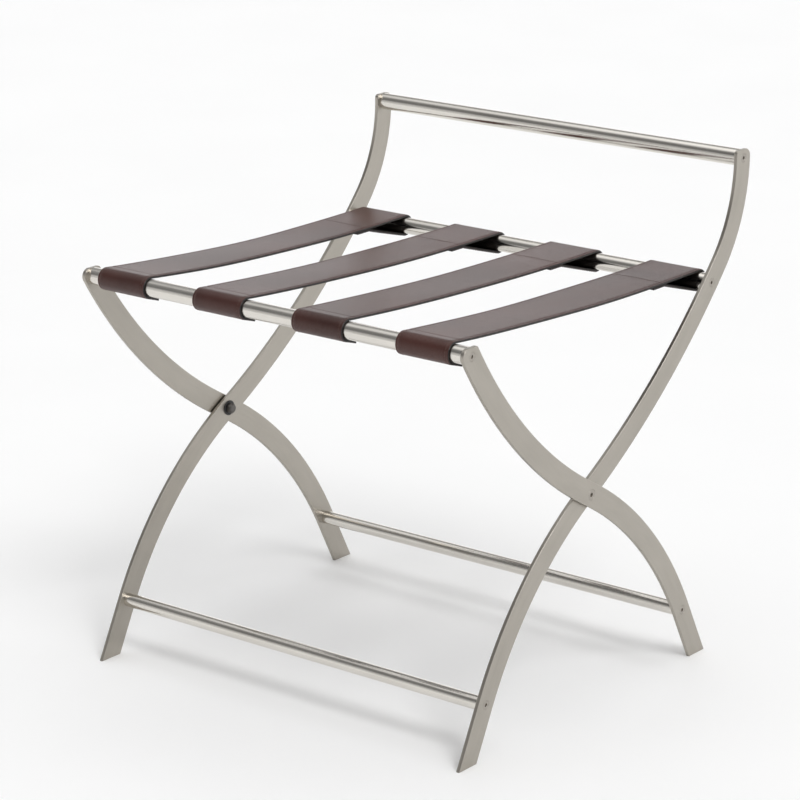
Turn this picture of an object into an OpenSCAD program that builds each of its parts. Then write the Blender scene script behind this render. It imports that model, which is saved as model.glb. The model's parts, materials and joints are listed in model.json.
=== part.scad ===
// Folding luggage rack: two pairs of S-curved flat bars that cross at a pivot, five round rails
// between them, and four leather straps looped over the two seat rails.
// Millimetres. +X runs along the rails, +Y to the back, +Z up. The origin is on the floor,
// under the middle of the whole rack. The outer pair of bars turns about the pivot when it folds.

/* [Bars] */
// Width over the outer faces of the outer bars
overall_w = 600; // [480:5:720]
// Width of the flat bar
bar_w = 30; // [24:1:36]
// Thickness of the flat bar
bar_t = 5; // [4:0.5:6]
// Height of a bar's level top over the centre of its last rail
bar_rise = 11; // [11:0.5:14]
// Radius of the corner of that top on the side of the seat
seat_corner_r = 5; // [3:0.5:8]
// Radius of the corner of that top on the outer side
outer_corner_r = 10; // [6:0.5:10]
// Space between an outer and an inner bar
bar_gap = 1.5; // [1:0.1:3]

/* [Curves] */
// Height of the pivot above the floor
pivot_z = 280; // [250:1:310]
// Slope of every bar where it crosses the pivot, in degrees
pivot_slope = 29; // [25:0.5:33]
// Radius of the bars below the pivot
leg_r = 500; // [440:5:560]
// Turn of the bars below the pivot, in degrees
leg_turn = 34; // [28:0.5:38]
// Radius of the outer bars above the pivot
front_r = 640; // [560:5:720]
// Turn of the outer bars above the pivot, in degrees
front_turn = 30; // [25:0.5:34]
// Radius of the inner bars from the pivot to above the seat
back_r = 1050; // [900:10:1200]
// Turn of the inner bars from the pivot to above the seat, in degrees
back_turn = 20; // [18:0.5:22]
// Radius of the inner bars below the top rail
top_r = 200; // [160:5:240]
// Turn of the inner bars below the top rail, in degrees
top_turn = 40; // [34:0.5:41]

/* [Rails] */
// Outer diameter of the seat rails and the top rail
rail_d = 22; // [18:0.5:25]
// Outer diameter of the two stretchers
stretcher_d = 18; // [15:0.5:20]
// Wall of every tube
tube_wall = 1.5; // [1:0.1:2]
// How far the rear seat rail lies below the front one
seat_drop = 21; // [0:1:30]

/* [Rail fixings] */
// Diameter of the rail screws
screw_d = 6; // [5:1:8]
// Length of the rail screws
screw_length = 20; // [16:1:24]
// Diameter of the countersunk head of the rail screws
screw_head_d = 12; // [11:0.5:14]
// Width across flats of the screw sockets
screw_socket = 4; // [3:0.5:5]
// Length of the threaded plug inside each end of a tube
plug_length = 22; // [18:1:30]

/* [Pivot] */
// Diameter of the pivot bolts
pivot_d = 8; // [6:0.5:10]
// Diameter of the countersunk head of the pivot bolts
pivot_head_d = 14; // [12:0.5:16]
// Width across flats of the pivot bolt sockets
pivot_socket = 5; // [4:0.5:6]
// Wall of the bush in the inner bar
bush_wall = 2; // [1:0.25:3]
// Thickness of the flange of the bush
bush_flange_t = 1; // [0.8:0.1:1.5]
// Outer diameter of the flange and of the washer between the bars
washer_d = 20; // [17:0.5:24]
// Width across flats of the pivot nuts
nut_w = 13; // [12:0.5:16]
// Height of the hexagon of the pivot nuts
nut_h = 5; // [4:0.5:7]
// Height of the low dome of the pivot nuts
nut_dome_h = 2; // [1:0.5:3]

/* [Straps] */
// Width of a strap
strap_w = 77; // [50:1:85]
// Gap between two straps
strap_gap = 81; // [40:1:90]
// Thickness of the leather face
leather_t = 2; // [1.5:0.1:3]
// Thickness of the black lining
lining_t = 1; // [0.5:0.1:1.5]
// Distance from the rear rail's centre to the seam where the strap closes round it
strap_return = 78; // [60:1:100]
// Length of the doubled end beyond that seam
strap_tail = 24; // [12:1:36]
// Length of the free end under the front rail
front_tail = 18; // [12:1:30]
// How far that free end droops, in degrees
front_droop = 9; // [0:1:20]

/* [Clearances] */
// Radial running clearance of the pivot bolt in its bush
run_clear = 0.05; // [0.02:0.01:0.1]
// Radial clearance between pieces that are fixed together
seat_clear = 0.02; // [0.01:0.01:0.05]
// End clearance between faces that turn on each other
face_clear = 0.1; // [0.05:0.05:0.3]
// Space between a strap and the rail inside it
strap_clear = 0.3; // [0.2:0.1:1]

/* [Hidden] */
$fn = 96;
// Degrees between two points of a bar's curve, and steps round one corner of its top
curve_step = 1;
corner_steps = 8;

// Colours
nickel = [0.66, 0.64, 0.60];
bright_nickel = [0.78, 0.77, 0.74];
dark_steel = [0.25, 0.24, 0.23];
nylon = [0.08, 0.08, 0.08];
brown = [0.33, 0.24, 0.22];
black = [0.05, 0.045, 0.04];

// A small overshoot, so that a cut leaves no skin
eps = 0.5;

// Places across the rack: the inner face of each bar
outer_x = overall_w / 2 - bar_t;
inner_x = outer_x - bar_gap - bar_t;

// An arc from heading h that turns by t on radius r moves this far along Y and along Z
function arc_y(r, h, t) = r * (sin(h + t) - sin(h));
function arc_z(r, h, t) = r * (cos(h) - cos(h + t));

// Headings, counted from level
leg_heading = pivot_slope + leg_turn;
front_heading = pivot_slope + front_turn;
bend_heading = pivot_slope + back_turn;
top_heading = bend_heading + top_turn;

// Legs: the stretcher sits where the curve ends, and a straight foot runs on to the floor
stretcher_y = arc_y(leg_r, pivot_slope, leg_turn);
stretcher_z = pivot_z - arc_z(leg_r, pivot_slope, leg_turn);
foot_length = stretcher_z / sin(leg_heading);
foot_y = stretcher_y + foot_length * cos(leg_heading);

// Front seat rail, at the top of the outer bars
front_y = -arc_y(front_r, pivot_slope, front_turn);
front_z = pivot_z + arc_z(front_r, pivot_slope, front_turn);

// Rear seat rail, on the long curve of the inner bars
rear_z = front_z - seat_drop;
rear_heading = acos(cos(pivot_slope) - (rear_z - pivot_z) / back_r);
rear_y = back_r * (sin(rear_heading) - sin(pivot_slope));

// Top rail, at the top of the inner bars
top_y = arc_y(back_r, pivot_slope, back_turn) + arc_y(top_r, bend_heading, top_turn);
top_z = pivot_z + arc_z(back_r, pivot_slope, back_turn) + arc_z(top_r, bend_heading, top_turn);

// Each place is [y, z], counted from the pivot's own place along Y
front_seat_at = [front_y, front_z];
rear_seat_at = [rear_y, rear_z];
top_at = [top_y, top_z];
front_stretcher_at = [-stretcher_y, stretcher_z];
rear_stretcher_at = [stretcher_y, stretcher_z];

// The strap's radii round a rail
lining_r = rail_d / 2 + strap_clear;
strap_r = lining_r + lining_t + leather_t;

// A strap's side view, from the front rail's centre along X to the rear rail's centre. Each face
// lies at an offset out from the inner face. The stretch round a rail runs from under it to its top.
wrap_steps = 40;
function wrap(off, from) = [
  for (i = [0:wrap_steps])
    let (a = from + (90 - from) * i / wrap_steps)
      (lining_r + off) * [cos(a), sin(a)]
];

// The front end stands free behind the underside of the front rail
function front_end(off) = concat(
  [
    (lining_r + off) * [-sin(front_droop), -cos(front_droop)]
    + front_tail * [cos(front_droop), -sin(front_droop)]
  ],
  wrap(off, 270 - front_droop)
);

// The rear end, drawn as the front one: it returns under the strap, turns flat at the seam, and
// ends sewn against the underside
return_rise = 2 * atan(lining_r / strap_return);
function rear_eye(off) = wrap(off, 270 + return_rise);
function rear_end(off) = concat(
  [
    [strap_return + strap_tail, lining_r - off],
    [strap_return + off * tan(return_rise / 2), lining_r - off]
  ],
  rear_eye(off)
);

// Across the top of a bar, from its last rail's centre to the centre of each corner
function seat_corner(heading) =
  (bar_rise * cos(heading) - bar_w / 2) / sin(heading) + seat_corner_r * tan(heading / 2);
function outer_corner(heading) =
  (bar_rise * cos(heading) + bar_w / 2) / sin(heading) - outer_corner_r / tan(heading / 2);

// Furthest reach of the rack to the front and to the back, which centres it on the origin
foot_reach = foot_y + bar_w / 2 / sin(leg_heading);
front_reach = -front_y + max(strap_r, outer_corner(front_heading) + outer_corner_r);
top_reach = top_y + outer_corner(top_heading) + outer_corner_r;
mid_y = (max(foot_reach, top_reach) - max(foot_reach, front_reach)) / 2;

// Outline of a bar. Each half is drawn from the pivot upwards along +X, bending to the left,
// and is mirrored into place. A bend is [radius, turn].
leg_bends = [[leg_r, leg_turn]];
front_bends = [[front_r, front_turn]];
back_bends = [[back_r, back_turn], [top_r, top_turn]];

// Points along one edge, which lies off to the left of the middle line
function edge(bends, off, from = [0, 0], heading = pivot_slope, i = 0) =
  i == len(bends) ? [] :
  let (
    r = bends[i][0],
    turn = bends[i][1],
    centre = from + r * [-sin(heading), cos(heading)],
    steps = ceil(turn / curve_step),
    first = i == 0 ? 0 : 1,
    last = heading + turn
  )
  concat(
    [
      for (k = [first:steps])
        let (a = heading + turn * k / steps)
          centre + (r - off) * [sin(a), -cos(a)]
    ],
    edge(bends, off, centre + r * [sin(last), -cos(last)], last, i + 1)
  );

// Round the level top of a bar, from the edge on the side of the seat to the outer one
function corner(centre, r, from, to) = [
  for (k = [0:corner_steps])
    let (a = from + (to - from) * k / corner_steps)
      centre + r * [cos(a), sin(a)]
];
function bar_tip(rail, heading) = concat(
  corner(rail + [seat_corner(heading), bar_rise - seat_corner_r], seat_corner_r, 90 + heading, 90),
  corner(rail + [outer_corner(heading), bar_rise - outer_corner_r], outer_corner_r, 90, heading - 90)
);

// An edge up to the height where a corner of the top starts
function below(points, height) = [for (p = points) if (p[1] < height) p];

// From the last point of a leg's edge straight on to the floor, which is pivot_z away
function to_floor(p) = p + (pivot_z - p[1]) / sin(leg_heading) * [cos(leg_heading), sin(leg_heading)];
function foot_edge(off) =
  let (points = edge(leg_bends, off))
    concat([for (i = [1:len(points) - 1]) points[i]], [to_floor(points[len(points) - 1])]);

function mirrored(points, sy, sz) = [for (p = points) [sy * p[0], sz * p[1]]];
function backwards(points) = [for (i = [len(points) - 1:-1:0]) points[i]];

// The upper half with its top, then the leg. sy is 1 where the upper half leans to the back
function bar_outline(bends, rail, heading, sy) =
  let (tip = bar_tip(rail, heading))
    concat(
      mirrored(below(edge(bends, bar_w / 2), tip[0][1]), sy, 1),
      mirrored(tip, sy, 1),
      mirrored(backwards(below(edge(bends, -bar_w / 2), tip[len(tip) - 1][1])), sy, 1),
      mirrored(foot_edge(bar_w / 2), -sy, -1),
      mirrored(backwards(foot_edge(-bar_w / 2)), -sy, -1)
    );

// Straps: the angle and the length of the line between the two seat rails
seat_run = rear_y - front_y;
seat_tilt = atan(seat_drop / seat_run);
seat_span = sqrt(seat_run * seat_run + seat_drop * seat_drop);
strap_count = 4;
strap_pitch = strap_w + strap_gap;

// Screws and pivots: each countersunk head is a 90 degree cone
socket_depth = 2;
pivot_socket_depth = 2.4;
bush_d = pivot_d + 2 * run_clear + 2 * bush_wall;
nut_x = inner_x - bush_flange_t - face_clear;
nut_bottom = 0.5;
nut_shoulder = 0.5;
bolt_in_nut = nut_h - nut_bottom;
washer_t = bar_gap - face_clear;

// ---- Placing ----

// Moves a piece from the pivot's frame along Y to the rack's own origin
module from_pivot() {
  translate([0, -mid_y, 0])
    children();
}

// Turns a flat drawing so that its X runs along Y, its Y up, and its thickness along X
module upright() {
  rotate([90, 0, 90])
    children();
}

// A place in the side view
module at(place) {
  translate([0, place[0], place[1]])
    children();
}

// One on the right, and its mirror image on the left
module both_sides() {
  children();
  mirror([1, 0, 0])
    children();
}

// ---- Bars ----

// The flat bar, from its outline in the side view
module bar_blank(outline) {
  translate([0, pivot_z, 0])
    linear_extrude(bar_t)
      polygon(outline);
}

// A countersunk hole through a bar, from the face at bar_t inwards
module countersunk_hole(d, head_d) {
  head_h = (head_d - d) / 2;
  translate([0, 0, -eps])
    cylinder(d = d + 2 * seat_clear, h = bar_t + 2 * eps);
  translate([0, 0, bar_t - head_h])
    cylinder(r1 = d / 2 + seat_clear, r2 = head_d / 2 + seat_clear, h = head_h);
  translate([0, 0, bar_t - seat_clear])
    cylinder(r = head_d / 2 + seat_clear, h = eps);
}

// The hole for a rail screw, at a place in the side view
module rail_hole(place) {
  translate([place[0], place[1], 0])
    countersunk_hole(screw_d, screw_head_d);
}

module outer_bar() {
  from_pivot()
    translate([outer_x, 0, 0])
      upright()
        difference() {
          bar_blank(bar_outline(front_bends, [-front_y, front_z - pivot_z], front_heading, -1));
          rail_hole(front_seat_at);
          rail_hole(rear_stretcher_at);
          translate([0, pivot_z, 0])
            countersunk_hole(pivot_d, pivot_head_d);
        }
}

module inner_bar() {
  from_pivot()
    translate([inner_x, 0, 0])
      upright()
        difference() {
          bar_blank(bar_outline(back_bends, [top_y, top_z - pivot_z], top_heading, 1));
          rail_hole(top_at);
          rail_hole(rear_seat_at);
          rail_hole(front_stretcher_at);
          translate([0, pivot_z, -eps])
            cylinder(d = bush_d, h = bar_t + 2 * eps);
        }
}

module outer_bar_right() {
  color(nickel)
    outer_bar();
}

module outer_bar_left() {
  color(nickel)
    mirror([1, 0, 0])
      outer_bar();
}

module inner_bar_right() {
  color(nickel)
    inner_bar();
}

module inner_bar_left() {
  color(nickel)
    mirror([1, 0, 0])
      inner_bar();
}

// ---- Rails and stretchers ----

// A tube between the inner faces of two bars
module tube(place, d, half) {
  color(bright_nickel)
    from_pivot()
      at(place)
        translate([-half, 0, 0])
          rotate([0, 90, 0])
            difference() {
              cylinder(d = d, h = 2 * half);
              translate([0, 0, -eps])
                cylinder(d = d - 2 * tube_wall, h = 2 * half + 2 * eps);
            }
}

// The two threaded plugs inside the ends of a tube
module tube_plugs(place, d, half) {
  color(dark_steel)
    from_pivot()
      at(place)
        both_sides()
          translate([half - plug_length, 0, 0])
            rotate([0, 90, 0])
              difference() {
                cylinder(d = d - 2 * tube_wall - 2 * seat_clear, h = plug_length);
                translate([0, 0, -eps])
                  cylinder(d = screw_d + 2 * seat_clear, h = plug_length + 2 * eps);
              }
}

// A countersunk socket screw that points along -X from the origin, its head's face at the origin
module countersunk_screw(d, head_d, length, socket, depth) {
  head_h = (head_d - d) / 2;
  rotate([0, -90, 0])
    difference() {
      union() {
        cylinder(r1 = head_d / 2, r2 = d / 2, h = head_h);
        cylinder(d = d, h = length);
      }
      translate([0, 0, -eps])
        cylinder(d = socket / cos(30), h = depth + eps, $fn = 6);
    }
}

// The two screws that hold a tube, through the bars outside its ends
module tube_screws(place, half) {
  color(nickel)
    from_pivot()
      at(place)
        both_sides()
          translate([half + bar_t, 0, 0])
            countersunk_screw(screw_d, screw_head_d, screw_length, screw_socket, socket_depth);
}

module front_seat_rail() {
  tube(front_seat_at, rail_d, outer_x);
}

module rear_stretcher() {
  tube(rear_stretcher_at, stretcher_d, outer_x);
}

module top_rail() {
  tube(top_at, rail_d, inner_x);
}

module rear_seat_rail() {
  tube(rear_seat_at, rail_d, inner_x);
}

module front_stretcher() {
  tube(front_stretcher_at, stretcher_d, inner_x);
}

module front_seat_rail_plugs() {
  tube_plugs(front_seat_at, rail_d, outer_x);
}

module rear_stretcher_plugs() {
  tube_plugs(rear_stretcher_at, stretcher_d, outer_x);
}

module top_rail_plugs() {
  tube_plugs(top_at, rail_d, inner_x);
}

module rear_seat_rail_plugs() {
  tube_plugs(rear_seat_at, rail_d, inner_x);
}

module front_stretcher_plugs() {
  tube_plugs(front_stretcher_at, stretcher_d, inner_x);
}

module front_seat_rail_screws() {
  tube_screws(front_seat_at, outer_x);
}

module rear_stretcher_screws() {
  tube_screws(rear_stretcher_at, outer_x);
}

module top_rail_screws() {
  tube_screws(top_at, inner_x);
}

module rear_seat_rail_screws() {
  tube_screws(rear_seat_at, inner_x);
}

module front_stretcher_screws() {
  tube_screws(front_stretcher_at, inner_x);
}

// ---- Pivot ----

// Puts a pivot piece on both sides, at x from the middle of the rack
module on_pivot(x) {
  from_pivot()
    at([0, pivot_z])
      both_sides()
        translate([x, 0, 0])
          children();
}

// The bolt's head lies flush in the outer bar, and its end is in the nut
module pivot_bolts() {
  length = overall_w / 2 - nut_x + bolt_in_nut;
  color(nickel)
    on_pivot(overall_w / 2)
      countersunk_screw(pivot_d, pivot_head_d, length, pivot_socket, pivot_socket_depth);
}

// A nut with a low dome, closed at its inner end
module pivot_nuts() {
  color(dark_steel)
    on_pivot(nut_x)
      rotate([0, -90, 0])
        difference() {
          union() {
            cylinder(d = nut_w / cos(30), h = nut_h, $fn = 6);
            translate([0, 0, nut_h])
              cylinder(r1 = nut_w / 2 - nut_shoulder, r2 = nut_w / 4, h = nut_dome_h);
          }
          translate([0, 0, -eps])
            cylinder(d = pivot_d + 2 * seat_clear, h = bolt_in_nut + 2 * eps);
        }
}

// The washer that keeps the bars apart lies against the outer bar
module pivot_washers() {
  color(nylon)
    on_pivot(outer_x - washer_t)
      rotate([0, 90, 0])
        difference() {
          cylinder(d = washer_d, h = washer_t);
          translate([0, 0, -eps])
            cylinder(d = pivot_d + 2 * run_clear, h = washer_t + 2 * eps);
        }
}

// A flanged bush in the inner bar, its flange on the inner side
module pivot_bushes() {
  color(nylon)
    on_pivot(inner_x - bush_flange_t)
      rotate([0, 90, 0])
        difference() {
          union() {
            cylinder(d = washer_d, h = bush_flange_t);
            cylinder(d = bush_d - 2 * seat_clear, h = bush_flange_t + bar_t);
          }
          translate([0, 0, -eps])
            cylinder(d = pivot_d + 2 * run_clear, h = bush_flange_t + bar_t + 2 * eps);
        }
}

// ---- Straps ----

// A rear end put in its place, in the order that carries on from the front end
function at_rear(points) = backwards([for (p = points) [seat_span - p[0], p[1]]]);

// One face of a strap from end to end
function strap_face(off) = concat(front_end(off), at_rear(rear_end(off)));

module leather_ply() {
  polygon(concat(strap_face(lining_t + leather_t), backwards(strap_face(lining_t))));
}

// The rear rail goes through the eye; the lining lies against itself beyond the seam
module lining_ply() {
  difference() {
    polygon(concat(
      strap_face(lining_t), at_rear([[strap_return + strap_tail, lining_r]]), backwards(front_end(0))
    ));
    polygon(at_rear(concat([[strap_return, lining_r]], rear_eye(0))));
  }
}

// Puts a ply's side view where strap number i lies on the two seat rails
module on_rails(i) {
  middle = (i - (strap_count + 1) / 2) * strap_pitch;
  from_pivot()
    translate([middle - strap_w / 2, front_y, front_z])
      rotate([-seat_tilt, 0, 0])
        upright()
          linear_extrude(strap_w)
            children();
}

module strap_leather(i) {
  color(brown)
    on_rails(i)
      leather_ply();
}

module strap_lining(i) {
  color(black)
    on_rails(i)
      lining_ply();
}

outer_bar_left();
outer_bar_right();
front_seat_rail();
rear_stretcher();
front_seat_rail_plugs();
rear_stretcher_plugs();
front_seat_rail_screws();
rear_stretcher_screws();
pivot_bolts();
pivot_nuts();
pivot_washers();
pivot_bushes();
inner_bar_left();
inner_bar_right();
top_rail();
rear_seat_rail();
front_stretcher();
top_rail_plugs();
rear_seat_rail_plugs();
front_stretcher_plugs();
top_rail_screws();
rear_seat_rail_screws();
front_stretcher_screws();
strap_leather(1);  // strap_1_leather
strap_leather(2);  // strap_2_leather
strap_leather(3);  // strap_3_leather
strap_leather(4);  // strap_4_leather
strap_lining(1);  // strap_1_lining
strap_lining(2);  // strap_2_lining
strap_lining(3);  // strap_3_lining
strap_lining(4);  // strap_4_lining
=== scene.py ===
# %% [markdown]
# # A folding luggage rack
#
# Two pairs of S-curved flat bars cross at a pivot. Five round rails hold them apart, and four
# leather straps are looped over the two seat rails. The exact parts come in as a fixed frame, in
# metres, and this script gives them their looks: eased edges, brushed nickel, grained leather,
# stitching and light.

# %% Load the frame
import json
import math

import bmesh
import bpy
import numpy as np
from mathutils import Matrix, Vector

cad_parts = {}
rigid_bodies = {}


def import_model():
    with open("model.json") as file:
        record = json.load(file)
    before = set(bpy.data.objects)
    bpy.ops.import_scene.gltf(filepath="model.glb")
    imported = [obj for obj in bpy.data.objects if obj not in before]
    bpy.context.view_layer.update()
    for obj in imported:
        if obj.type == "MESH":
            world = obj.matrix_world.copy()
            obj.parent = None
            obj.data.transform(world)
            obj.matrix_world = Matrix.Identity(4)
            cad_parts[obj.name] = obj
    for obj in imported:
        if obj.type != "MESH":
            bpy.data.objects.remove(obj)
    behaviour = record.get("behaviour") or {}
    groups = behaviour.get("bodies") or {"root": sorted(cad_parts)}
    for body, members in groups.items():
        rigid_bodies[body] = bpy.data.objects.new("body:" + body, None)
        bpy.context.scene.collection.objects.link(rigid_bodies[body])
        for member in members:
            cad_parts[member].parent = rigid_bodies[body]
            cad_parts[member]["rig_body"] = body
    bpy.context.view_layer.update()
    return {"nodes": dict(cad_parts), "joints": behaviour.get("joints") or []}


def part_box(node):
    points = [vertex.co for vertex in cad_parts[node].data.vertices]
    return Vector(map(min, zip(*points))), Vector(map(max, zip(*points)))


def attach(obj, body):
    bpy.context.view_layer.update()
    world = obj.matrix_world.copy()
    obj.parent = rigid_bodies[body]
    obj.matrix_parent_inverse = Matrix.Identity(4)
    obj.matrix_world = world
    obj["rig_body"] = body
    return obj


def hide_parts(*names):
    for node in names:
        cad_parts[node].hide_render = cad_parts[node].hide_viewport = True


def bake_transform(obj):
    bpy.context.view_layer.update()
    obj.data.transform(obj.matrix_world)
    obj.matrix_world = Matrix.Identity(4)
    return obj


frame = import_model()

nodes = frame["nodes"]
pivot = Vector(frame["joints"][0]["pos_m"])
mm = 0.001

# %% [markdown]
# ## Camera
#
# A rack like this looks calm through a long lens from a few metres away, because parallel rails
# then stay nearly parallel. The camera could be placed by hand, but three plain numbers (how far
# round, how high, how far away) are easier to read and to change, so its place is worked out from
# them and from the point that it looks at.

# %% Place the camera
camera_round = math.radians(38.84)
camera_height = math.radians(17.1)
camera_tilt = math.radians(-0.43)
camera_distance = 4.075
looks_at = Vector((0.0111, -0.0571, 0.3493))

camera_data = bpy.data.cameras.new("camera")
camera_data.sensor_width = 36
camera_data.lens = 145.6
camera = bpy.data.objects.new("camera", camera_data)
bpy.context.scene.collection.objects.link(camera)
bpy.context.scene.camera = camera

towards_camera = Vector((
    math.sin(camera_round) * math.cos(camera_height),
    -math.cos(camera_round) * math.cos(camera_height),
    math.sin(camera_height),
))
level = (-towards_camera).to_track_quat("-Z", "Y").to_matrix()
turned_camera = (level @ Matrix.Rotation(camera_tilt, 3, "Z")).to_4x4()
camera.matrix_world = Matrix.Translation(looks_at + camera_distance * towards_camera) @ turned_camera
camera_data.clip_end = 60
print("Camera stands at", [round(v, 3) for v in camera.matrix_world.translation])

# %% [markdown]
# ## Building a piece
#
# Each visible piece is a mesh made from lists of points and faces. One helper turns the lists into
# an object, shades it smoothly but keeps its real corners sharp, and gives it a material. A second
# helper says which exact part the piece stands for and which body it moves with.

# %% Helpers for every piece
corner_angle = math.radians(35)


def made_piece(name, bm, *materials):
    """Turns a bmesh into an object that is smooth apart from its corners."""
    bmesh.ops.remove_doubles(bm, verts=bm.verts, dist=1e-7)
    bmesh.ops.recalc_face_normals(bm, faces=bm.faces)
    mesh = bpy.data.meshes.new(name)
    bm.to_mesh(mesh)
    bm.free()
    for face in mesh.polygons:
        face.use_smooth = True
    mesh.set_sharp_from_angle(angle=corner_angle)
    piece = bpy.data.objects.new(name, mesh)
    bpy.context.scene.collection.objects.link(piece)
    for material in materials:
        mesh.materials.append(material)
    return piece


def stands_for(piece, node):
    """The piece replaces a node of the frame and moves with that node's body."""
    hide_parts(node)
    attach(piece, nodes[node]["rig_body"])


def even_shading(piece):
    """Lets large flat faces set the shading, so that their rounded edges don't smear over them."""
    even = piece.modifiers.new("even shading", "WEIGHTED_NORMAL")
    even.keep_sharp = True


def middle_of(node):
    low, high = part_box(node)
    return (low + high) / 2


# %% [markdown]
# ## Brushed nickel
#
# The bars and rails are steel with a brushed nickel finish: a warm grey metal with hair-thin lines
# along its length. A picture of brushed metal could be wrapped round them, but noise stretched well
# over a hundred times along one direction gives the same lines at any distance. The lines change
# the roughness most, and the height and the colour a little. A second, broad noise adds the soft
# unevenness of a hand-finished surface.

# %% Material helpers


def new_material(name):
    """A material with a bare Principled shader, and a function that adds nodes to it."""
    material = bpy.data.materials.new(name)
    material.use_nodes = True
    tree = material.node_tree
    shader = tree.nodes["Principled BSDF"]

    def add(kind, **settings):
        node = tree.nodes.new(kind)
        for key, value in settings.items():
            if key in node.inputs:
                node.inputs[key].default_value = value
            else:
                setattr(node, key, value)
        return node

    return material, tree.links.new, shader, add


def between(add, link, source, low, high, darkest=0.3, brightest=0.7):
    """Maps a noise value to the range from low to high, and returns the socket."""
    mapped = add("ShaderNodeMapRange")
    mapped.inputs["From Min"].default_value = darkest
    mapped.inputs["From Max"].default_value = brightest
    mapped.inputs["To Min"].default_value = low
    mapped.inputs["To Max"].default_value = high
    link(source, mapped.inputs["Value"])
    return mapped.outputs["Result"]


def two_colours(add, link, source, first, second):
    """Mixes two colours by a value, and returns the colour socket."""
    mix = add("ShaderNodeMix", data_type="RGBA")
    mix.inputs[6].default_value = (*first, 1)
    mix.inputs[7].default_value = (*second, 1)
    link(source, mix.inputs[0])
    return mix.outputs[2]


# %% Brushed nickel


def brushed_nickel(name, light, dark, smooth, rough, line_height):
    """Nickel with fine lines along the first axis of the piece's own grain attribute."""
    material, link, shader, add = new_material(name)
    shader.inputs["Metallic"].default_value = 1.0
    grain = add("ShaderNodeAttribute", attribute_name="grain")
    stretched = add("ShaderNodeMapping", Scale=(25, 4200, 4200))
    link(grain.outputs["Vector"], stretched.inputs["Vector"])
    lines = add("ShaderNodeTexNoise", Scale=1.0, Detail=3.0, Roughness=0.65)
    link(stretched.outputs["Vector"], lines.inputs["Vector"])
    broad_place = add("ShaderNodeMapping", Scale=(14, 60, 60))
    link(grain.outputs["Vector"], broad_place.inputs["Vector"])
    broad = add("ShaderNodeTexNoise", Scale=1.0, Detail=2.0)
    link(broad_place.outputs["Vector"], broad.inputs["Vector"])

    both = add("ShaderNodeMath", operation="MULTIPLY_ADD")
    both.inputs[1].default_value = 0.6
    link(lines.outputs["Fac"], both.inputs[0])
    soft = add("ShaderNodeMath", operation="MULTIPLY")
    soft.inputs[1].default_value = 0.4
    link(broad.outputs["Fac"], soft.inputs[0])
    link(soft.outputs[0], both.inputs[2])
    link(two_colours(add, link, between(add, link, both.outputs[0], 0, 1), dark, light),
         shader.inputs["Base Color"])
    link(between(add, link, both.outputs[0], smooth, rough), shader.inputs["Roughness"])
    bump = add("ShaderNodeBump", Strength=0.35, Distance=line_height)
    link(lines.outputs["Fac"], bump.inputs["Height"])
    link(bump.outputs["Normal"], shader.inputs["Normal"])
    return material


bar_nickel = brushed_nickel(
    "brushed nickel", (0.46, 0.43, 0.385), (0.37, 0.345, 0.305), 0.30, 0.44, 0.00003)
# The rails have the same nickel as the bars, but their colour is painted much brighter so that the
# highlight along each rail comes out near white. That extra brightness is painted highlight. Their
# lower roughness is a real, smoother finish.
tube_nickel_painted_bright = brushed_nickel(
    "satin nickel tube with painted highlight", (0.80, 0.77, 0.72), (0.66, 0.63, 0.58), 0.14, 0.23, 0.000012)
screw_nickel = brushed_nickel(
    "screw nickel", (0.42, 0.39, 0.35), (0.34, 0.315, 0.28), 0.24, 0.36, 0.00001)


def grain_attribute(piece, values):
    """Stores, for each point, where it lies along and across the grain."""
    grain = piece.data.attributes.new("grain", "FLOAT_VECTOR", "POINT")
    grain.data.foreach_set("vector", np.asarray(values, np.float32).ravel())


def points_of(piece):
    co = np.empty(len(piece.data.vertices) * 3, np.float32)
    piece.data.vertices.foreach_get("co", co)
    return co.reshape(-1, 3)


# %% [markdown]
# ## The flat bars
#
# On the real rack each bar is flat steel, 30 by 5 mm, curved on edge into a long S. Seen from the
# side it is a few arcs that meet smoothly, so the same arcs draw it here: one below the pivot, with
# a straight leg after it, and one or two above it. Each bar is cut level at the floor and level
# over its last rail, with rounded corners there. Drawing the outline again at several small insets
# gives the eased edges, which catch the light as on the real thing. The faces are filled round the
# holes, and each screw hole widens towards the outside for its countersunk head.

# %% The arcs of a bar
bar_width = 30 * mm
bar_rise = 11 * mm
seat_corner = 5 * mm
outer_corner = 10 * mm
eased = 0.7 * mm
slope_at_pivot = 29
leg_arc = [(0.500, 34)]
front_arc = [(0.640, 30)]
back_arcs = [(1.050, 20), (0.200, 40)]
arc_step = 0.75
tip_steps = 10


def direction(heading):
    a = math.radians(heading)
    return Vector((math.cos(a), math.sin(a)))


def left_of(heading):
    return direction(heading + 90)


def bar_edge(arcs, offset):
    """Points beside the middle line, from the pivot on, with the line's end and its heading."""
    points, place, heading = [], Vector((0, 0)), slope_at_pivot
    for radius, turn in arcs:
        centre = place + radius * left_of(heading)
        steps = math.ceil(turn / arc_step)
        for k in range(1 if points else 0, steps + 1):
            points.append(centre - (radius - offset) * left_of(heading + turn * k / steps))
        heading += turn
        place = centre - radius * left_of(heading)
    return points, place, heading


def flipped(points, y_sign, z_sign):
    return [Vector((y_sign * p.x, z_sign * p.y)) for p in points]


def bar_tip(place, heading, inset):
    """Round the level top over the last rail, from the edge on the seat's side to the outer one."""
    slope = math.radians(heading)
    middle = bar_rise * math.cos(slope) / math.sin(slope)
    across = bar_width / 2 / math.sin(slope)
    points = []
    for start, radius, first, last in (
            (middle - across + seat_corner * math.tan(slope / 2), seat_corner, 90 + heading, 90),
            (middle + across - outer_corner / math.tan(slope / 2), outer_corner, 90, heading - 90)):
        centre = place + Vector((start, bar_rise - radius))
        points += [centre + (radius - inset) * direction(first + (last - first) * k / tip_steps)
                   for k in range(tip_steps + 1)]
    return points


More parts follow.
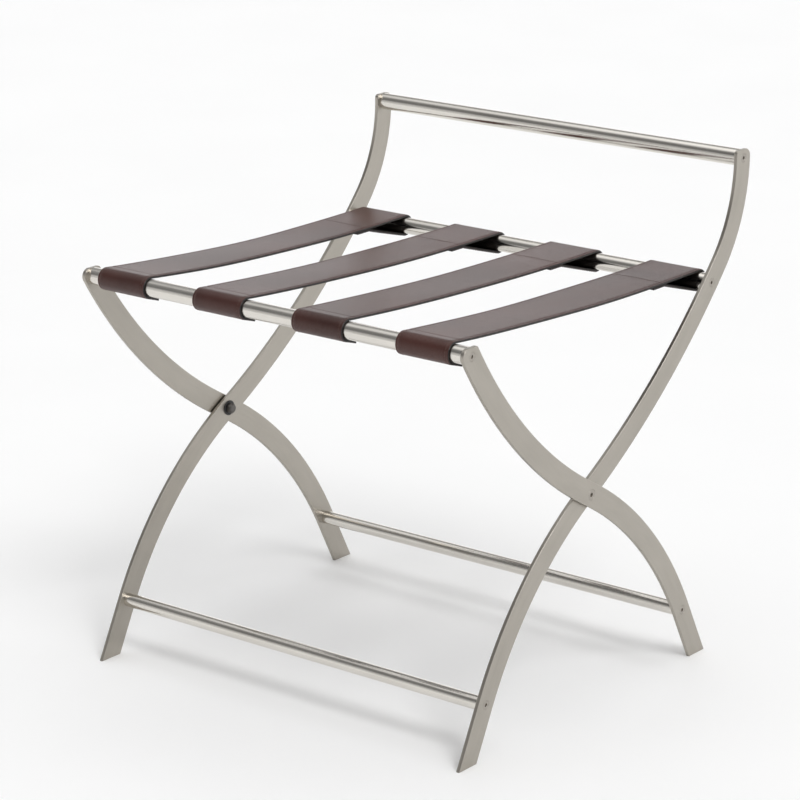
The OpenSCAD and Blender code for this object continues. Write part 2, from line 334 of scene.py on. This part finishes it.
def foot_side(offset, inset):
    """The lower half of one edge, down to the flat cut at the floor."""
    points, _, heading = bar_edge(leg_arc, offset)
    last = points[-1]
    along = direction(heading)
    return points[1:] + [last + (pivot.z - inset - last.y) / along.y * along]


def bar_outline(arcs, y_sign, inset):
    """A bar's whole outline in the side view, inset a little, counted from the pivot."""
    half = bar_width / 2 - inset
    left, place, heading = bar_edge(arcs, half)
    right = bar_edge(arcs, -half)[0]
    return (flipped(left, y_sign, 1) + flipped(bar_tip(place, heading, inset), y_sign, 1)
            + flipped(right[::-1], y_sign, 1) + flipped(foot_side(half, inset), -y_sign, -1)
            + flipped(foot_side(-half, inset)[::-1], -y_sign, -1))


def bar_middle_line(arcs, y_sign):
    """The middle line from just below the floor, through the pivot, to past the last rail."""
    upper, place, heading = bar_edge(arcs, 0)
    upper.append(place + bar_width * direction(heading))
    lower = foot_side(0, -bar_width / 2)
    return np.array([tuple(p) for p in
                     flipped(lower[::-1], -y_sign, -1) + flipped(upper, y_sign, 1)])


# %% One bar as a mesh
hole_steps = 48
ease_steps = 4
grain_cell = 12 * mm


def hole_ring(centre, radius):
    return [centre + radius * direction(360 * k / hole_steps) for k in range(hole_steps)]


def filled(bm, outline, holes):
    """Fills an outline with triangles and leaves its holes open."""
    edges = []
    for ring in [outline, *holes]:
        edges += [bm.edges.get((a, b)) or bm.edges.new((a, b))
                  for a, b in zip(ring, ring[1:] + ring[:1])]
    bmesh.ops.triangle_fill(bm, use_beauty=True, edges=edges)


def bridged(bm, first, second):
    for k in range(len(first)):
        n = (k + 1) % len(first)
        bm.faces.new((first[k], first[n], second[n], second[k]))


def flat_bar(node, arcs, y_sign, holes):
    """holes is a list of (node in the hole, radius at the rail side, radius at the outside)."""
    low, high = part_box(node)
    inner, outer = sorted((low.x, high.x), key=abs)
    outwards = 1 if outer > inner else -1
    bm = bmesh.new()

    def ring_of(points, x):
        return [bm.verts.new((x, pivot.y + p.x, pivot.z + p.y)) for p in points]

    rings = []
    for face, sign in ((inner, 1), (outer, -1)):
        for k in range(ease_steps + 1):
            a = math.pi / 2 * (k / ease_steps if sign > 0 else 1 - k / ease_steps)
            x = face + sign * outwards * eased * (1 - math.cos(a))
            rings.append(ring_of(bar_outline(arcs, y_sign, eased * (1 - math.sin(a))), x))
    for first, second in zip(rings, rings[1:]):
        bridged(bm, first, second)
    near, far = [], []
    for in_hole, rail_side, outside in holes:
        centre = middle_of(in_hole)
        at = Vector((centre.y - pivot.y, centre.z - pivot.z))
        near.append(ring_of(hole_ring(at, rail_side), inner))
        far.append(ring_of(hole_ring(at, outside), outer))
        bridged(bm, near[-1], far[-1])
    filled(bm, rings[0], near)
    filled(bm, rings[-1], far)

    for axis in (1, 2):
        steps = math.ceil((high[axis] - low[axis]) / grain_cell)
        normal = Vector((0, 0, 0))
        normal[axis] = 1
        for k in range(1, steps):
            cut = low.lerp(high, k / steps)
            bmesh.ops.bisect_plane(
                bm, geom=bm.verts[:] + bm.edges[:] + bm.faces[:],
                plane_co=cut, plane_no=normal, dist=1e-6)

    piece = made_piece("flat_" + node, bm, bar_nickel)
    line = bar_middle_line(arcs, y_sign) + np.array((pivot.y, pivot.z))
    step = np.diff(line, axis=0)
    length = np.linalg.norm(step, axis=1)
    start = np.concatenate(([0], np.cumsum(length)[:-1]))
    co = points_of(piece)
    away = co[:, None, 1:] - line[None, :-1]
    along = np.clip((away * step).sum(2) / length, 0, length)
    foot = line[:-1] + step * (along / length)[..., None]
    gap = np.linalg.norm(co[:, None, 1:] - foot, axis=2)
    nearest = gap.argmin(1)
    every = np.arange(len(co))
    offset = away[every, nearest]
    side = np.sign(step[nearest, 0] * offset[:, 1] - step[nearest, 1] * offset[:, 0])
    grain_attribute(piece, np.column_stack((
        start[nearest] + along[every, nearest], side * gap[every, nearest], co[:, 0])))
    even_shading(piece)
    stands_for(piece, node)
    off = max(abs(a - b) for a, b in zip((*low, *high), (*co.min(0), *co.max(0))))
    print(f"{piece.name}: {len(co)} points, within {off / mm:.2f} mm of its exact part")
    return piece


# %% All four bars
screw_radius = 3 * mm
screw_head_radius = 6 * mm
bolt_radius = 4 * mm
bolt_head_radius = 7 * mm
bush_radius = 6.05 * mm
hole_play = 0.03 * mm


def screw_hole(node):
    return (node, screw_radius + hole_play, screw_head_radius + hole_play)


pivot_hole = ("pivot_bolts", bolt_radius + hole_play, bolt_head_radius + hole_play)
bush_hole = ("pivot_bushes", bush_radius + hole_play, bush_radius + hole_play)
for side in ("left", "right"):
    flat_bar("outer_bar_" + side, front_arc, -1, [
        screw_hole("front_seat_rail_screws"), screw_hole("rear_stretcher_screws"), pivot_hole])
    flat_bar("inner_bar_" + side, back_arcs, 1, [
        screw_hole("top_rail_screws"), screw_hole("rear_seat_rail_screws"),
        screw_hole("front_stretcher_screws"), bush_hole])

# %% [markdown]
# ## Turned pieces
#
# Rails, screws, bolts, washers, bushes and nuts are all round about one line, so one helper makes
# them: it spins a list of (distance along X, radius) points. A radius can also be a rule that
# depends on the angle, which is how a hexagon socket or nut is cut into an otherwise round piece.

# %% The turning helper
turn_steps = 72


def hexagon(across_flats):
    """The radius of a hexagon at each angle, in degrees."""
    def radius(angle):
        return across_flats / 2 / math.cos(math.radians((angle + 30) % 60 - 30))
    return radius


def limited(rule, largest):
    return lambda angle: min(rule(angle), largest)


def spun(bm, profile, centre, outwards, closed=False):
    """Spins a profile about a line along X through centre. outwards is 1 or -1."""
    rings = []
    for along, radius in profile:
        ring = []
        for k in range(turn_steps):
            angle = 360 * k / turn_steps
            r = radius(angle) if callable(radius) else radius
            way = direction(angle)
            ring.append(bm.verts.new((
                outwards * along, centre.y + r * way.x, centre.z + r * way.y)))
        rings.append(ring)
    pairs = list(zip(rings, rings[1:] + rings[:1])) if closed else list(zip(rings, rings[1:]))
    for first, second in pairs:
        bridged(bm, first, second)


def turned_grain(piece, centre):
    """Lines run along X. Going round the piece counts as across the grain."""
    co = points_of(piece)
    y, z = co[:, 1] - centre.y, co[:, 2] - centre.z
    grain_attribute(piece, np.column_stack((co[:, 0], y, z)))


# %% [markdown]
# ## Rails and stretchers
#
# The rails are plain steel tubes cut square and held between the bars. Only a thin shadow shows
# where tube meets bar, and it comes from the small edge that a tube cutter leaves, so each end is
# eased by about a third of a millimetre.

# %% Five tubes
tube_wall = 1.5 * mm
tube_ease = 0.35 * mm
rails = ("front_seat_rail", "rear_seat_rail", "top_rail", "front_stretcher", "rear_stretcher")
for node in rails:
    low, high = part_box(node)
    centre, half = middle_of(node), high.x
    radius = (high.z - low.z) / 2
    bore = radius - tube_wall
    bm = bmesh.new()
    spun(bm, [
        (-half, bore + tube_ease), (-half, radius - tube_ease),
        (-half + tube_ease * 0.3, radius - tube_ease * 0.3), (-half + tube_ease, radius),
        (0, radius),
        (half - tube_ease, radius), (half - tube_ease * 0.3, radius - tube_ease * 0.3),
        (half, radius - tube_ease), (half, bore + tube_ease), (half - tube_ease, bore),
        (0, bore), (-half + tube_ease, bore)], centre, 1, closed=True)
    piece = made_piece("tube_" + node, bm, tube_nickel_painted_bright)
    turned_grain(piece, centre)
    even_shading(piece)
    stands_for(piece, node)
    print(f"{piece.name}: {2 * radius / mm:.0f} mm tube, {2 * half / mm:.0f} mm long")

# %% [markdown]
# ## Screws and pivots
#
# A countersunk socket screw lies flush in the bar at each end of every rail. From a few metres away
# it is only a dark dot, which is the hexagon socket, but close up its thin rim shows too, so both
# are modelled. The pivot has the same kind of head, a nylon washer between the bars, a nylon bush
# in the inner bar and a dark nut with a low dome on the inside.

# %% Screw heads and bolts
screw_length = 20 * mm
screw_socket = 4 * mm
screw_socket_depth = 2 * mm
bolt_socket = 5 * mm
bolt_socket_depth = 2.4 * mm


def countersunk(bm, centre, outwards, face, radius, head, length, socket, depth):
    """A screw whose head lies flush with the plane x = face."""
    hole = hexagon(socket)
    rim = 0.15 * mm
    sunk = 0.05 * mm
    top = face - sunk
    spun(bm, [
        (top - depth - socket * 0.25, 0), (top - depth, hole), (top - rim, hole),
        (top, lambda angle: hole(angle) + rim), (top, head - 2 * rim), (top - rim, head - rim),
        (top - rim - (head - rim - radius), radius), (top - length + radius / 2, radius),
        (top - length, radius / 2), (top - length, 0)], centre, outwards)


def both_sides(name, node, material, build):
    """A piece on the right and its mirror image on the left, as one object."""
    centre = middle_of(node)
    bm = bmesh.new()
    for outwards in (1, -1):
        build(bm, centre, outwards)
    piece = made_piece(name, bm, material)
    turned_grain(piece, centre)
    stands_for(piece, node)
    return piece


for node in rails:
    screws = node + "_screws"
    low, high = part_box(screws)
    both_sides(
        "screws_" + node, screws, screw_nickel,
        lambda bm, centre, outwards, face=high.x: countersunk(
            bm, centre, outwards, face, screw_radius, screw_head_radius,
            screw_length, screw_socket, screw_socket_depth))

outer_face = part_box("pivot_bolts")[1].x
inner_end = min(abs(v.co.x) for v in nodes["pivot_bolts"].data.vertices)
both_sides(
    "bolts_pivot", "pivot_bolts", screw_nickel,
    lambda bm, centre, outwards: countersunk(
        bm, centre, outwards, outer_face, bolt_radius, bolt_head_radius,
        outer_face - inner_end, bolt_socket, bolt_socket_depth))

# %% Nuts, washers and bushes


def speckled(name, colour, other, metallic, roughness, grain_scale, height):
    """A plain, slightly uneven finish for small parts, painted edges and the floor."""
    material, link, shader, add = new_material(name)
    shader.inputs["Metallic"].default_value = metallic
    place = add("ShaderNodeTexCoord")
    fine = add("ShaderNodeTexNoise", Scale=grain_scale, Detail=4.0)
    link(place.outputs["Object"], fine.inputs["Vector"])
    link(two_colours(add, link, fine.outputs["Fac"], colour, other), shader.inputs["Base Color"])
    link(between(add, link, fine.outputs["Fac"], roughness - 0.07, roughness + 0.07),
         shader.inputs["Roughness"])
    bump = add("ShaderNodeBump", Strength=0.3, Distance=height)
    link(fine.outputs["Fac"], bump.inputs["Height"])
    link(bump.outputs["Normal"], shader.inputs["Normal"])
    return material


nut_dark = speckled(
    "dark plated nut", (0.10, 0.095, 0.09), (0.16, 0.15, 0.14), 1.0, 0.38, 900, 0.00003)
black_nylon = speckled(
    "black nylon", (0.018, 0.018, 0.018), (0.03, 0.03, 0.03), 0.0, 0.5, 1400, 0.00004)
turned_steel = speckled(
    "turned steel", (0.40, 0.39, 0.37), (0.5, 0.49, 0.47), 1.0, 0.35, 1200, 0.00003)

nut_face = max(abs(v.co.x) for v in nodes["pivot_nuts"].data.vertices)
nut_end = min(abs(v.co.x) for v in nodes["pivot_nuts"].data.vertices)
nut_flats = 13 * mm
nut_hex = 5 * mm
nut_bore_depth = 4 * mm
corner = 0.35 * mm
washer_radius = 10 * mm
flange_thickness = 1 * mm
ring_ease = 0.15 * mm


def domed_nut(bm, centre, outwards):
    sides = hexagon(nut_flats)
    across_corners = nut_flats / math.sqrt(3)
    top = nut_face - nut_hex
    dome = [
        (top + (nut_end - top) * math.sin(math.radians(a)),
         (nut_flats / 2 - corner) * (0.55 + 0.45 * math.cos(math.radians(a))))
        for a in (0, 18, 36, 54, 72, 90)]
    spun(bm, [
        (nut_face - nut_bore_depth, 0), (nut_face - nut_bore_depth, bolt_radius + hole_play),
        (nut_face, bolt_radius + hole_play), (nut_face, limited(sides, across_corners - 2 * corner)),
        (nut_face - corner, limited(sides, across_corners - corner)),
        (top + 2 * corner, limited(sides, across_corners - corner)),
        (top, limited(sides, across_corners - 3 * corner)),
        *dome, (nut_end, 0)], centre, outwards)


def flat_ring(face, thickness, bore, radius):
    def build(bm, centre, outwards):
        e = ring_ease
        spun(bm, [
            (face, bore), (face, radius - e), (face - e, radius), (face - thickness + e, radius),
            (face - thickness, radius - e), (face - thickness, bore)],
            centre, outwards, closed=True)
    return build


def flanged_bush(bm, centre, outwards):
    low = min(abs(v.co.x) for v in nodes["pivot_bushes"].data.vertices)
    high = max(abs(v.co.x) for v in nodes["pivot_bushes"].data.vertices)
    bore, flange, e = bolt_radius + 2 * hole_play, washer_radius, ring_ease
    neck = low + flange_thickness
    spun(bm, [
        (low, bore), (low, flange - e), (low + e, flange), (neck - e, flange), (neck, flange - e),
        (neck, bush_radius), (high, bush_radius), (high, bore)], centre, outwards, closed=True)


both_sides("nuts_pivot", "pivot_nuts", nut_dark, domed_nut)
washer_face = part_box("pivot_washers")[1].x
washer_thickness = washer_face - min(abs(v.co.x) for v in nodes["pivot_washers"].data.vertices)
both_sides("washers_pivot", "pivot_washers", black_nylon,
           flat_ring(washer_face, washer_thickness, bolt_radius + 2 * hole_play, washer_radius))
both_sides("bushes_pivot", "pivot_bushes", black_nylon, flanged_bush)

# %% [markdown]
# The threaded plugs are inside the tubes and never seen, so the exact parts stay as they are and
# only get the finish of turned steel.

# %% Plugs
for node in rails:
    plugs = nodes[node + "_plugs"]
    plugs.data.materials.clear()
    plugs.data.materials.append(turned_steel)

# %% [markdown]
# ## Leather
#
# The straps have a brown grained face on a black lining, with black painted edges. Leather grain is
# a net of small rounded cells with finer wrinkles between them. A Voronoi texture gives the cells,
# one noise bends them a little, and two more give the wrinkles and the uneven dye. The face is
# waxed, so it picks up a soft warm shine where light grazes it.

# %% Leather, lining, edge paint and thread
wax_shine = (1.0, 0.84, 0.80, 1)


def leather(name, dark, light, cell, height, roughness, shine):
    material, link, shader, add = new_material(name)
    shader.inputs["Specular IOR Level"].default_value = shine
    shader.inputs["Specular Tint"].default_value = wax_shine
    place = add("ShaderNodeTexCoord")
    cells = add("ShaderNodeTexVoronoi", feature="DISTANCE_TO_EDGE", Scale=cell, Randomness=0.9)
    wrinkles = add("ShaderNodeTexNoise", Scale=cell * 1.7, Detail=5.0, Roughness=0.6)
    dye = add("ShaderNodeTexNoise", Scale=9.0, Detail=4.0, Roughness=0.55)
    bent = add("ShaderNodeTexNoise", Scale=cell * 0.4, Detail=2.0)
    link(place.outputs["Object"], bent.inputs["Vector"])
    warped = add("ShaderNodeMix", data_type="VECTOR")
    warped.inputs[0].default_value = 0.0012
    link(place.outputs["Object"], warped.inputs[4])
    link(bent.outputs["Color"], warped.inputs[5])
    for texture in (cells, wrinkles):
        link(warped.outputs[1], texture.inputs["Vector"])
    link(place.outputs["Object"], dye.inputs["Vector"])
    pebble = between(add, link, cells.outputs["Distance"], 0, 1, 0.0, 0.25)
    rise = add("ShaderNodeMath", operation="MULTIPLY_ADD")
    rise.inputs[1].default_value = 0.5
    link(wrinkles.outputs["Fac"], rise.inputs[0])
    link(pebble, rise.inputs[2])

    tone = add("ShaderNodeMath", operation="MULTIPLY_ADD")
    tone.inputs[1].default_value = 0.22
    link(pebble, tone.inputs[0])
    link(between(add, link, dye.outputs["Fac"], 0, 0.8), tone.inputs[2])
    link(two_colours(add, link, tone.outputs[0], dark, light), shader.inputs["Base Color"])
    link(between(add, link, rise.outputs[0], roughness + 0.1, roughness - 0.06, 0.2, 1.4),
         shader.inputs["Roughness"])
    bump = add("ShaderNodeBump", Strength=0.5, Distance=height)
    link(rise.outputs[0], bump.inputs["Height"])
    link(bump.outputs["Normal"], shader.inputs["Normal"])
    return material


brown_leather = leather(
    "brown leather", (0.030, 0.0095, 0.0075), (0.066, 0.022, 0.017), 900, 0.00012, 0.31, 0.5)
black_lining = leather(
    "black lining", (0.010, 0.009, 0.009), (0.017, 0.015, 0.014), 1500, 0.00006, 0.55, 0.35)
edge_paint = speckled(
    "black edge paint", (0.007, 0.006, 0.006), (0.013, 0.011, 0.011), 0.0, 0.45, 1300, 0.00005)


def waxed_thread():
    """Two strands twisted together: slanting bands across each stitch."""
    material, link, shader, add = new_material("waxed thread")
    place = add("ShaderNodeTexCoord")
    twist = add("ShaderNodeTexWave", Scale=900.0, Distortion=1.0, bands_direction="DIAGONAL")
    link(place.outputs["Object"], twist.inputs["Vector"])
    link(two_colours(add, link, twist.outputs["Fac"], (0.075, 0.043, 0.036), (0.14, 0.09, 0.075)),
         shader.inputs["Base Color"])
    link(between(add, link, twist.outputs["Fac"], 0.5, 0.65, 0, 1), shader.inputs["Roughness"])
    bump = add("ShaderNodeBump", Strength=0.5, Distance=0.0001)
    link(twist.outputs["Fac"], bump.inputs["Height"])
    link(bump.outputs["Normal"], shader.inputs["Normal"])
    return material


thread = waxed_thread()

# %% [markdown]
# ## The path of a strap
#
# Each strap is one long ribbon. It starts with a short free end behind the underside of the front
# rail, goes round and over that rail, crosses to the rear rail, goes round it and ends sewn against
# its own underside. Cloth simulation would fight with so thick a material, so the path is drawn from
# the rails' own places: arcs round the rails and straight runs between them. A shallow sag and a
# slight unevenness, different for each strap, keep it from looking machined.

# %% Path of a strap in the side view
rail_radius = 11 * mm
strap_clear = 0.3 * mm
lining_thickness = 1 * mm
leather_thickness = 2 * mm
strap_return = 78 * mm
strap_tail = 24 * mm
tail_gap = 0.04 * mm
front_tail = 18 * mm
front_droop = 13
inside = rail_radius + strap_clear
front_rail = middle_of("front_seat_rail")
rear_rail = middle_of("rear_seat_rail")
span = (rear_rail - front_rail).length
forward_to_back = (rear_rail - front_rail).normalized()
upwards = Vector((1, 0, 0)).cross(forward_to_back)
rise_angle = 2 * math.degrees(math.atan(inside / strap_return))
wrap_steps = 32
tail_steps = 12
return_steps = 24
close_steps = 25
wide_steps = 63
crease_at = 11 * mm
crease_depth = 0.4 * mm
crease_half = 1.3 * mm


def steps_between(first, last, count):
    return [first.lerp(last, k / count) for k in range(1, count)]


def wrap(offset, first):
    """Round a rail from an angle at its underside to its top."""
    return [(inside + offset) * direction(first + (90 - first) * k / wrap_steps)
            for k in range(wrap_steps + 1)]


def front_path(offset):
    """From the free end to the top of the front rail, at an offset out from the inner face."""
    round_rail = wrap(offset, 270 - front_droop)
    end = round_rail[0] + front_tail * direction(-front_droop)
    return [end, *steps_between(end, round_rail[0], tail_steps), *round_rail]


def rear_path(offset):
    """From the top of the rear rail to the sewn end."""
    round_rail = wrap(offset, 270 + rise_angle)
    end = Vector((strap_return + strap_tail, inside - offset - tail_gap))
    bend = Vector((strap_return + offset * math.tan(math.radians(rise_angle / 2)),
                   inside - offset - tail_gap))
    points = [end, *steps_between(end, bend, tail_steps), bend,
              *steps_between(bend, round_rail[0], return_steps), *round_rail]
    return [Vector((span - p.x, p.y)) for p in reversed(points)]


def top_stations():
    """Places along the top run: a millimetre apart near the rails, wider apart in the middle."""
    near = [k * mm for k in range(1, close_steps + 1)]
    wide = np.linspace(near[-1], span - near[-1], wide_steps + 1)[1:-1]
    return near + list(wide) + [span - v for v in reversed(near)]


def strap_path(offset):
    over = [Vector((v, inside + offset)) for v in top_stations()]
    return front_path(offset) + over + rear_path(offset)


# %% How a strap lies
strap_width = 77 * mm
sags = (7.5 * mm, 5.0 * mm, 4.6 * mm, 5.4 * mm)
wave_height = 0.5 * mm
wave_along = 9.0
wave_across = 40
wave_shift = 1.7
edge_curl = 0.6 * mm


def drop(strap, along, across):
    """How far a point lies below the straight strap: its sag, a slow wave and a slight curl."""
    share = min(1.0, max(0.0, along / span))
    free = 4 * share * (1 - share)
    wave = (wave_height * math.sin(wave_along * share + wave_shift * strap)
            * math.sin(wave_across * across + strap))
    curl = edge_curl * (2 * across / strap_width) ** 2
    return free * (sags[strap] + wave + curl)


def crease(place, top):
    """Depth of the shallow crease across the strap, just behind its bend over the front rail."""
    away = (place - crease_at) / crease_half
    return crease_depth * math.exp(-(away ** 2)) if top else 0.0


def in_rack(middle_x, strap, across, point):
    """From the side view of a strap to the rack's own frame."""
    place = front_rail + point.x * forward_to_back
    place += (point.y - drop(strap, point.x, across)) * upwards
    return Vector((middle_x + across, place.y, place.z))


# %% [markdown]
# ## The plies
#
# A ply is the path swept with a flat section. The leather's outer corners are rounded and a thin
# line is creased along each edge, as an edge creaser leaves it. The lining is a little narrower, so
# that the painted edge of the leather stands proud of it.

# %% Sweep a ply
edge_round = 0.8 * mm
edge_line = 2.4 * mm
edge_line_depth = 0.22 * mm
edge_line_half = 0.5 * mm
lining_inset = 0.4 * mm


def leather_section():
    """(distance across, depth below the outer face), from one edge towards the middle."""
    half = strap_width / 2
    r = edge_round
    return [
        (half, r), (half - 0.13 * r, 0.5 * r), (half - 0.5 * r, 0.13 * r), (half - r, 0),
        (half - edge_line + edge_line_half, 0), (half - edge_line, edge_line_depth),
        (half - edge_line - edge_line_half, 0), (half - 8 * mm, 0), (half - 18 * mm, 0),
        (half - 28 * mm, 0)]


def lining_section():
    half = strap_width / 2 - lining_inset
    return [(half, 0.2 * mm), (half - 0.2 * mm, 0), (half - 8 * mm, 0), (half - 22 * mm, 0)]


def ply(name, strap, middle_x, low_offset, high_offset, section, creased, materials):
    """Sweeps a section along the strap. The second material goes on the cut edges."""
    low_path, high_path = strap_path(low_offset), strap_path(high_offset)
    first_top = len(front_path(0)) - 1
    last_top = len(low_path) - len(rear_path(0))
    outer = section + [(0.0, 0.0)] + [(-a, d) for a, d in reversed(section)]
    outer = [(-a, d) for a, d in outer]
    bm = bmesh.new()
    rings = []
    for k, (low, high) in enumerate(zip(low_path, high_path)):
        out = (high - low).normalized()
        on_top = first_top <= k <= last_top
        ring = []
        for across, depth in outer:
            sink = depth + (crease(low.x, on_top) if creased and depth < edge_round / 2 else 0)
            ring.append(bm.verts.new(in_rack(middle_x, strap, across, high - sink * out)))
        for across, _ in reversed(outer):
            ring.append(bm.verts.new(in_rack(middle_x, strap, across, low)))
        rings.append(ring)
    columns = len(outer)
    for first, second in zip(rings, rings[1:]):
        for k in range(2 * columns):
            n = (k + 1) % (2 * columns)
            face = bm.faces.new((first[k], first[n], second[n], second[k]))
            at_edge = k in (0, columns - 2, columns - 1, 2 * columns - 1)
            face.material_index = 1 if at_edge and len(materials) > 1 else 0
    for ring in (rings[0], rings[-1]):
        for k in range(columns - 1):
            face = bm.faces.new((
                ring[k], ring[k + 1], ring[2 * columns - 2 - k], ring[2 * columns - 1 - k]))
            face.material_index = len(materials) - 1
    return made_piece(name, bm, *materials)


# %% [markdown]
# ## Stitching
#
# A lined strap is sewn along both edges, across its front end, and across the seam that closes it
# round the rear rail. Of the seam's two rows, one is made on top and the other underneath. A
# painted line of dashes would look flat close up, so each stitch is a small tapered bead of thread
# that dips into the leather at both ends.

# %% Stitches
stitch_pitch = 4.2 * mm
stitch_length = 3.3 * mm
thread_radius = 0.36 * mm
bead_steps = 6
stitch_line = 4.2 * mm
row_inset = 6 * mm
front_row = 4 * mm
edge_margin = 5 * mm
under_face = 0.5 * mm
# (share of a stitch's length, thickness, lift), the last two as shares of the thread's radius
bead_shape = ((0, 0.35, -0.9), (0.12, 0.8, -0.1), (0.5, 1, 0.25), (0.88, 0.8, -0.1), (1, 0.35, -0.9))


def bead(bm, start, end, normal):
    """One stitch: a thin tube, thickest in the middle, with its ends in the leather."""
    across = (end - start).cross(normal).normalized()
    rings = []
    for share, size, lift in bead_shape:
        centre = start.lerp(end, share) + lift * thread_radius * normal
        rings.append([
            bm.verts.new(centre + size * thread_radius * (
                math.cos(2 * math.pi * k / bead_steps) * across
                + math.sin(2 * math.pi * k / bead_steps) * normal))
            for k in range(bead_steps)])
    for first, second in zip(rings, rings[1:]):
        bridged(bm, first, second)
    for ring in (rings[0], rings[-1]):
        bm.faces.new(ring)


def stitching(name, strap, middle_x, face):
    """Rows along both edges of the outer face, and rows across at its front end and rear seam."""
    path = strap_path(face)
    under = strap_path(face - under_face)
    gaps = [(b - a).length for a, b in zip(path, path[1:])]
    lengths = [0.0]
    for gap in gaps:
        lengths.append(lengths[-1] + gap)

    def at(distance, across):
        k = min(int(np.searchsorted(lengths, distance, side="right")) - 1, len(gaps) - 1)
        share = (distance - lengths[k]) / gaps[k]
        point, below = path[k].lerp(path[k + 1], share), under[k].lerp(under[k + 1], share)
        top = in_rack(middle_x, strap, across, point)
        return top, (top - in_rack(middle_x, strap, across, below)).normalized()

    bm = bmesh.new()
    edge = strap_width / 2 - stitch_line
    count = int((lengths[-1] - 2 * edge_margin) / stitch_pitch)
    for across in (-edge, edge):
        for k in range(count):
            start, normal = at(edge_margin + k * stitch_pitch, across)
            end, _ = at(edge_margin + k * stitch_pitch + stitch_length, across)
            bead(bm, start, end, normal)
    over_rear_rail = lengths[len(path) - len(rear_path(0))]
    for row in (front_row, over_rear_rail - strap_return - row_inset, lengths[-1] - row_inset):
        for k in range(int(2 * edge / stitch_pitch)):
            across = -edge + (k + 0.6) * stitch_pitch
            start, normal = at(row, across)
            end, _ = at(row, across + stitch_length)
            bead(bm, start, end, normal)
    return made_piece(name, bm, thread)


# %% Four straps
face = lining_thickness + leather_thickness
for strap in range(4):
    label = f"strap_{strap + 1}_"
    middle_x = middle_of(label + "leather").x
    top = ply(label + "leather_face", strap, middle_x, lining_thickness, face,
              leather_section(), True, (brown_leather, edge_paint))
    bottom = ply(label + "black_lining", strap, middle_x, 0, lining_thickness - 0.02 * mm,
                 lining_section(), False, (black_lining,))
    sewing = stitching(label + "stitching", strap, middle_x, face)
    for piece, node, slot in ((top, "leather", "leather"), (bottom, "lining", "lining")):
        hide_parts(label + node)
    for piece in (top, bottom, sewing):
        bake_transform(piece)
    print(f"Strap {strap + 1}: {strap_width / mm:.0f} mm wide, sag {sags[strap] / mm:.1f} mm")

# %% [markdown]
# ## Floor and light
#
# The rack stands on a pale studio floor. Metal shows what is round it, so the light matters as much
# as the finish: a broad bright ceiling for the highlight along each rail, a darker band below it for
# the thin dark line beside that highlight, and a white horizon. The room is dimmer in front, so the
# straps turn dark where they bend down over the front rail. One large soft sun from the right lays
# faint shadows to the left.

# %% Floor
floor_size = 40.0
floor_mesh = bmesh.new()
bmesh.ops.create_grid(floor_mesh, x_segments=8, y_segments=8, size=floor_size / 2)
pale = speckled("pale floor", (0.94, 0.94, 0.94), (0.97, 0.97, 0.97), 0.0, 0.75, 3.0, 0.0001)
floor = made_piece("floor", floor_mesh, pale)

# %% Light
world = bpy.data.worlds.new("studio")
bpy.context.scene.world = world
world.use_nodes = True
sky, sky_link = world.node_tree.nodes, world.node_tree.links.new
place = sky.new("ShaderNodeTexCoord")
height = sky.new("ShaderNodeSeparateXYZ")
ramp = sky.new("ShaderNodeValToRGB")
sky_link(place.outputs["Generated"], height.inputs[0])
sky_link(height.outputs["Z"], ramp.inputs["Fac"])
sky_link(ramp.outputs["Color"], sky["Background"].inputs["Color"])
ceiling = ((0.0, 0.95), (0.22, 0.85), (0.42, 0.22), (0.72, 0.22), (0.86, 1.0), (1.0, 1.0))
while len(ramp.color_ramp.elements) < len(ceiling):
    ramp.color_ramp.elements.new(0.5)
for stop, (where, brightness) in zip(ramp.color_ramp.elements, ceiling):
    stop.position = where
    stop.color = (brightness, brightness, brightness, 1)
front_dim = sky.new("ShaderNodeMapRange")
for socket, value in (("From Min", -1.0), ("From Max", 0.3), ("To Min", 0.5), ("To Max", 1.66)):
    front_dim.inputs[socket].default_value = value
sky_link(height.outputs["Y"], front_dim.inputs["Value"])
sky_link(front_dim.outputs["Result"], sky["Background"].inputs["Strength"])

sun_data = bpy.data.lights.new("soft sun", "SUN")
sun_data.energy = 1.1
sun_data.angle = math.radians(24)
sun = bpy.data.objects.new("soft sun", sun_data)
bpy.context.scene.collection.objects.link(sun)
sun.rotation_mode = "QUATERNION"
sun.rotation_quaternion = Vector((0.62, -0.22, 0.75)).to_track_quat("Z", "Y")
bpy.context.scene.view_settings.view_transform = "Standard"
